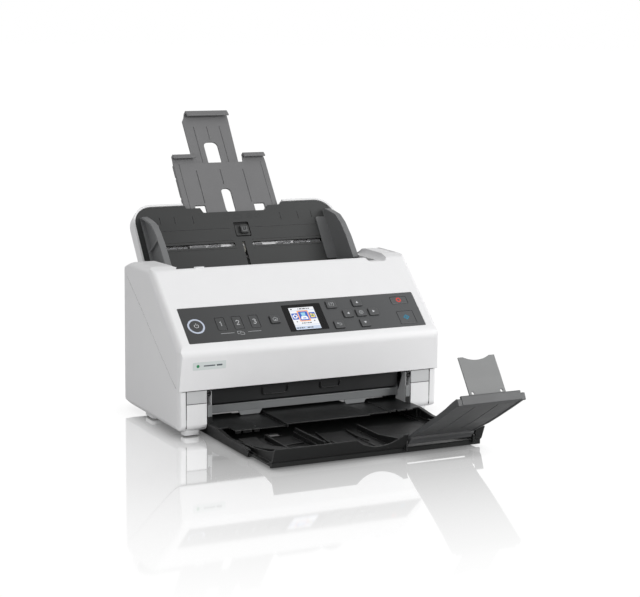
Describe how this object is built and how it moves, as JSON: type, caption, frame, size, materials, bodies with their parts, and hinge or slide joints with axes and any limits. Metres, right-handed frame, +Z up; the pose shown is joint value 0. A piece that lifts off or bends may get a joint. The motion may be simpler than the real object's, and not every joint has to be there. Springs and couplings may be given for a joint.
{
  "type": "sheet fed document scanner",
  "caption": "Desktop sheet-fed document scanner with a folding feed tray, extending guides, a tilting front cover with control keys, and a pull-out exit tray with a raised stopper.",
  "frame": {"origin": "on the desk plane under the middle of the open machine's bounding box", "axes": "+Z up, +Y from the exit tray at the front towards the feed tray at the back, +X to the right seen from the front"},
  "size_m": [0.296, 0.5167, 0.3037],
  "materials": {
    "shell_white": "fine spark texture, satin",
    "pillar_grey": "satin",
    "frame_black": "moulded",
    "tray_dark": "fine texture",
    "tray_mid": "fine texture",
    "guide_grey": "fine texture",
    "exit_black": "fine texture",
    "stopper_grey": "fine texture",
    "flap_grey": "fine texture",
    "bar_silver": "satin",
    "panel_dark": "satin",
    "key_dark": "satin",
    "bezel_black": "gloss",
    "screen": "backlit",
    "light_ring": "backlit",
    "rubber_foot": "matt",
    "roller_rubber": "grooved",
    "steel": "turned",
    "gear_plastic": "moulded",
    "motor_steel": "drawn can",
    "board_green": "solder mask",
    "glass": "polished",
    "idler_white": "moulded"
  },
  "bodies": {
    "base": {"side_cover_right": "shell_white", "side_cover_left": "shell_white", "pillar_caps": "pillar_grey", "rear_cover": "shell_white", "base_frame": "frame_black", "motor": "motor_steel", "lower_guide": "frame_black", "lower_glass": "glass", "lower_sensor": "frame_black", "exit_bar": "bar_silver", "main_board": "board_green", "feet": "rubber_foot", "hinge_pins": "steel", "bottom_screws": "steel"},
    "cover": {"cover_shell": "shell_white", "cover_frame": "frame_black", "upper_glass": "glass", "power_ring": "light_ring", "panel_plate": "panel_dark", "display_bezel": "bezel_black", "display_screen": "screen", "panel_board": "board_green"},
    "feed_tray": {"tray_shell": "shell_white", "tray_face": "tray_dark"},
    "edge_guide_right": {"guide_right": "guide_grey"},
    "edge_guide_left": {"guide_left": "guide_grey"},
    "edge_guide_pinion": {"guide_pinion": "gear_plastic"},
    "selector": {"feeder_selector": "tray_dark"},
    "extension_1": {"tray_extension_1": "tray_mid"},
    "extension_2": {"tray_extension_2": "tray_mid"},
    "exit_tray": {"output_tray": "exit_black"},
    "exit_tray_extension": {"output_extension": "exit_black"},
    "paper_stopper": {"stopper": "stopper_grey"},
    "paper_stopper_flap": {"stopper_flap": "flap_grey"},
    "pickup_roller": {"pickup_shaft": "steel", "pickup_tyres": "roller_rubber"},
    "feed_roller": {"feed_shaft": "steel", "feed_tyres": "roller_rubber"},
    "exit_roller": {"eject_roller": "roller_rubber"},
    "upper_idler_gear": {"gear_idler_upper": "gear_plastic"},
    "lower_idler_gear": {"gear_idler_lower": "gear_plastic"},
    "motor_shaft": {"motor_pinion": "steel"},
    "separation": {"separation_roller": "roller_rubber"},
    "upper_feed_rollers": {"feed_idlers": "idler_white"},
    "upper_exit_rollers": {"eject_idlers": "idler_white"},
    "release": {"release_lever": "shell_white"},
    "b_key_power": {"key_power": "key_dark"},
    "b_key_1": {"key_1": "key_dark"},
    "b_key_2": {"key_2": "key_dark"},
    "b_key_3": {"key_3": "key_dark"},
    "b_key_home": {"key_home": "key_dark"},
    "b_key_help": {"key_help": "key_dark"},
    "b_key_back": {"key_back": "key_dark"},
    "b_key_up": {"key_up": "key_dark"},
    "b_key_left": {"key_left": "key_dark"},
    "b_key_ok": {"key_ok": "key_dark"},
    "b_key_right": {"key_right": "key_dark"},
    "b_key_down": {"key_down": "key_dark"},
    "b_key_stop": {"key_stop": "key_dark"},
    "b_key_start": {"key_start": "key_dark"}
  },
  "joints": [
    {"name": "cover_open", "type": "hinge", "parent": "base", "child": "cover", "pos_m": [0, -0.01662, 0.0425], "axis": [-1, 0, 0], "range_deg": [-55, 0]},
    {"name": "feed_tray_fold", "type": "hinge", "parent": "base", "child": "feed_tray", "pos_m": [0, 0.12251, 0.147], "axis": [1, 0, 0], "range_deg": [0, 117]},
    {"name": "exit_tray_slide", "type": "slide", "parent": "base", "child": "exit_tray", "axis": [0, 1, 0], "range_m": [0, 0.095]},
    {"name": "exit_tray_extension_slide", "type": "slide", "parent": "exit_tray", "child": "exit_tray_extension", "axis": [0, 1, 0], "range_m": [0, 0.044]},
    {"name": "stopper_fold", "type": "hinge", "parent": "exit_tray_extension", "child": "paper_stopper", "pos_m": [0, -0.16412, 0.013], "axis": [-1, 0, 0], "range_deg": [0, 151.7]},
    {"name": "stopper_flap_fold", "type": "hinge", "parent": "paper_stopper", "child": "paper_stopper_flap", "pos_m": [0.0665, -0.25172, 0.07002], "axis": [-1, 0, 0], "range_deg": [0, 86.9]},
    {"name": "edge_guide_right_slide", "type": "slide", "parent": "feed_tray", "child": "edge_guide_right", "axis": [1, 0, 0], "range_m": [-0.079, 0]},
    {"name": "edge_guide_left_slide", "type": "slide", "parent": "feed_tray", "child": "edge_guide_left", "axis": [1, 0, 0], "range_m": [0, 0.0795]},
    {"name": "edge_guide_pinion_spin", "type": "hinge", "parent": "feed_tray", "child": "edge_guide_pinion", "pos_m": [0, 0.15102, 0.16337], "axis": [0, -0.809, 0.5878], "range_deg": [0, 567]},
    {"name": "extension_1_slide", "type": "slide", "parent": "feed_tray", "child": "extension_1", "axis": [0, -0.5878, -0.809], "range_m": [0, 0.062]},
    {"name": "extension_2_slide", "type": "slide", "parent": "extension_1", "child": "extension_2", "axis": [0, -0.5878, -0.809], "range_m": [0, 0.053]},
    {"name": "selector_slide", "type": "slide", "parent": "feed_tray", "child": "selector", "axis": [0, 0.5878, 0.809], "range_m": [-0.0012, 0.0038]},
    {"name": "release_lift", "type": "hinge", "parent": "cover", "child": "release", "pos_m": [0, 0.09838, 0.1564], "axis": [-1, 0, 0], "range_deg": [0, 12], "stiffness_Nm_per_rad": 0.3},
    {"name": "feed_spin", "type": "hinge", "parent": "base", "child": "feed_roller", "pos_m": [0, 0.06238, 0.0525], "axis": [1, 0, 0], "continuous": true},
    {"name": "pickup_spin", "type": "hinge", "parent": "base", "child": "pickup_roller", "pos_m": [0, 0.09718, 0.0804], "axis": [1, 0, 0], "continuous": true},
    {"name": "exit_spin", "type": "hinge", "parent": "base", "child": "exit_roller", "pos_m": [0, 0.01418, 0.0309], "axis": [1, 0, 0], "continuous": true},
    {"name": "upper_idler_spin", "type": "hinge", "parent": "base", "child": "upper_idler_gear", "pos_m": [0, 0.08378, 0.06146], "axis": [1, 0, 0], "continuous": true},
    {"name": "lower_idler_spin", "type": "hinge", "parent": "base", "child": "lower_idler_gear", "pos_m": [0, 0.04019, 0.03542], "axis": [1, 0, 0], "continuous": true},
    {"name": "motor_spin", "type": "hinge", "parent": "base", "child": "motor_shaft", "pos_m": [0, 0.08876, 0.03906], "axis": [1, 0, 0], "continuous": true},
    {"name": "separation_spin", "type": "hinge", "parent": "cover", "child": "separation", "pos_m": [0, 0.07987, 0.09599], "axis": [1, 0, 0], "continuous": true},
    {"name": "upper_feed_spin", "type": "hinge", "parent": "cover", "child": "upper_feed_rollers", "pos_m": [0, 0.05214, 0.06644], "axis": [1, 0, 0], "continuous": true},
    {"name": "upper_exit_spin", "type": "hinge", "parent": "cover", "child": "upper_exit_rollers", "pos_m": [0, 0.00959, 0.04306], "axis": [1, 0, 0], "continuous": true},
    {"name": "key_power_press", "type": "slide", "parent": "cover", "child": "b_key_power", "axis": [0, 0.6669, -0.7452], "range_m": [0, 0.0008], "stiffness_N_per_m": 400},
    {"name": "key_1_press", "type": "slide", "parent": "cover", "child": "b_key_1", "axis": [0, 0.6669, -0.7452], "range_m": [0, 0.0008], "stiffness_N_per_m": 400},
    {"name": "key_2_press", "type": "slide", "parent": "cover", "child": "b_key_2", "axis": [0, 0.6669, -0.7452], "range_m": [0, 0.0008], "stiffness_N_per_m": 400},
    {"name": "key_3_press", "type": "slide", "parent": "cover", "child": "b_key_3", "axis": [0, 0.6669, -0.7452], "range_m": [0, 0.0008], "stiffness_N_per_m": 400},
    {"name": "key_home_press", "type": "slide", "parent": "cover", "child": "b_key_home", "axis": [0, 0.6669, -0.7452], "range_m": [0, 0.0008], "stiffness_N_per_m": 400},
    {"name": "key_help_press", "type": "slide", "parent": "cover", "child": "b_key_help", "axis": [0, 0.6669, -0.7452], "range_m": [0, 0.0008], "stiffness_N_per_m": 400},
    {"name": "key_back_press", "type": "slide", "parent": "cover", "child": "b_key_back", "axis": [0, 0.6669, -0.7452], "range_m": [0, 0.0008], "stiffness_N_per_m": 400},
    {"name": "key_up_press", "type": "slide", "parent": "cover", "child": "b_key_up", "axis": [0, 0.6669, -0.7452], "range_m": [0, 0.0008], "stiffness_N_per_m": 400},
    {"name": "key_left_press", "type": "slide", "parent": "cover", "child": "b_key_left", "axis": [0, 0.6669, -0.7452], "range_m": [0, 0.0008], "stiffness_N_per_m": 400},
    {"name": "key_ok_press", "type": "slide", "parent": "cover", "child": "b_key_ok", "axis": [0, 0.6669, -0.7452], "range_m": [0, 0.0008], "stiffness_N_per_m": 400},
    {"name": "key_right_press", "type": "slide", "parent": "cover", "child": "b_key_right", "axis": [0, 0.6669, -0.7452], "range_m": [0, 0.0008], "stiffness_N_per_m": 400},
    {"name": "key_down_press", "type": "slide", "parent": "cover", "child": "b_key_down", "axis": [0, 0.6669, -0.7452], "range_m": [0, 0.0008], "stiffness_N_per_m": 400},
    {"name": "key_stop_press", "type": "slide", "parent": "cover", "child": "b_key_stop", "axis": [0, 0.6669, -0.7452], "range_m": [0, 0.0008], "stiffness_N_per_m": 400},
    {"name": "key_start_press", "type": "slide", "parent": "cover", "child": "b_key_start", "axis": [0, 0.6669, -0.7452], "range_m": [0, 0.0008], "stiffness_N_per_m": 400}
  ],
  "couplings": [
    {"joint": "stopper_flap_fold", "follows": "stopper_fold", "ratio": 0.57218},
    {"joint": "edge_guide_left_slide", "follows": "edge_guide_right_slide", "ratio": -1},
    {"joint": "edge_guide_pinion_spin", "follows": "edge_guide_right_slide", "rad_per_m": -125},
    {"joint": "pickup_spin", "follows": "feed_spin", "ratio": 1},
    {"joint": "exit_spin", "follows": "feed_spin", "ratio": 1.1667},
    {"joint": "upper_idler_spin", "follows": "feed_spin", "ratio": -0.93333},
    {"joint": "lower_idler_spin", "follows": "feed_spin", "ratio": -0.66667},
    {"joint": "motor_spin", "follows": "feed_spin", "ratio": -4.2857}
  ]
}
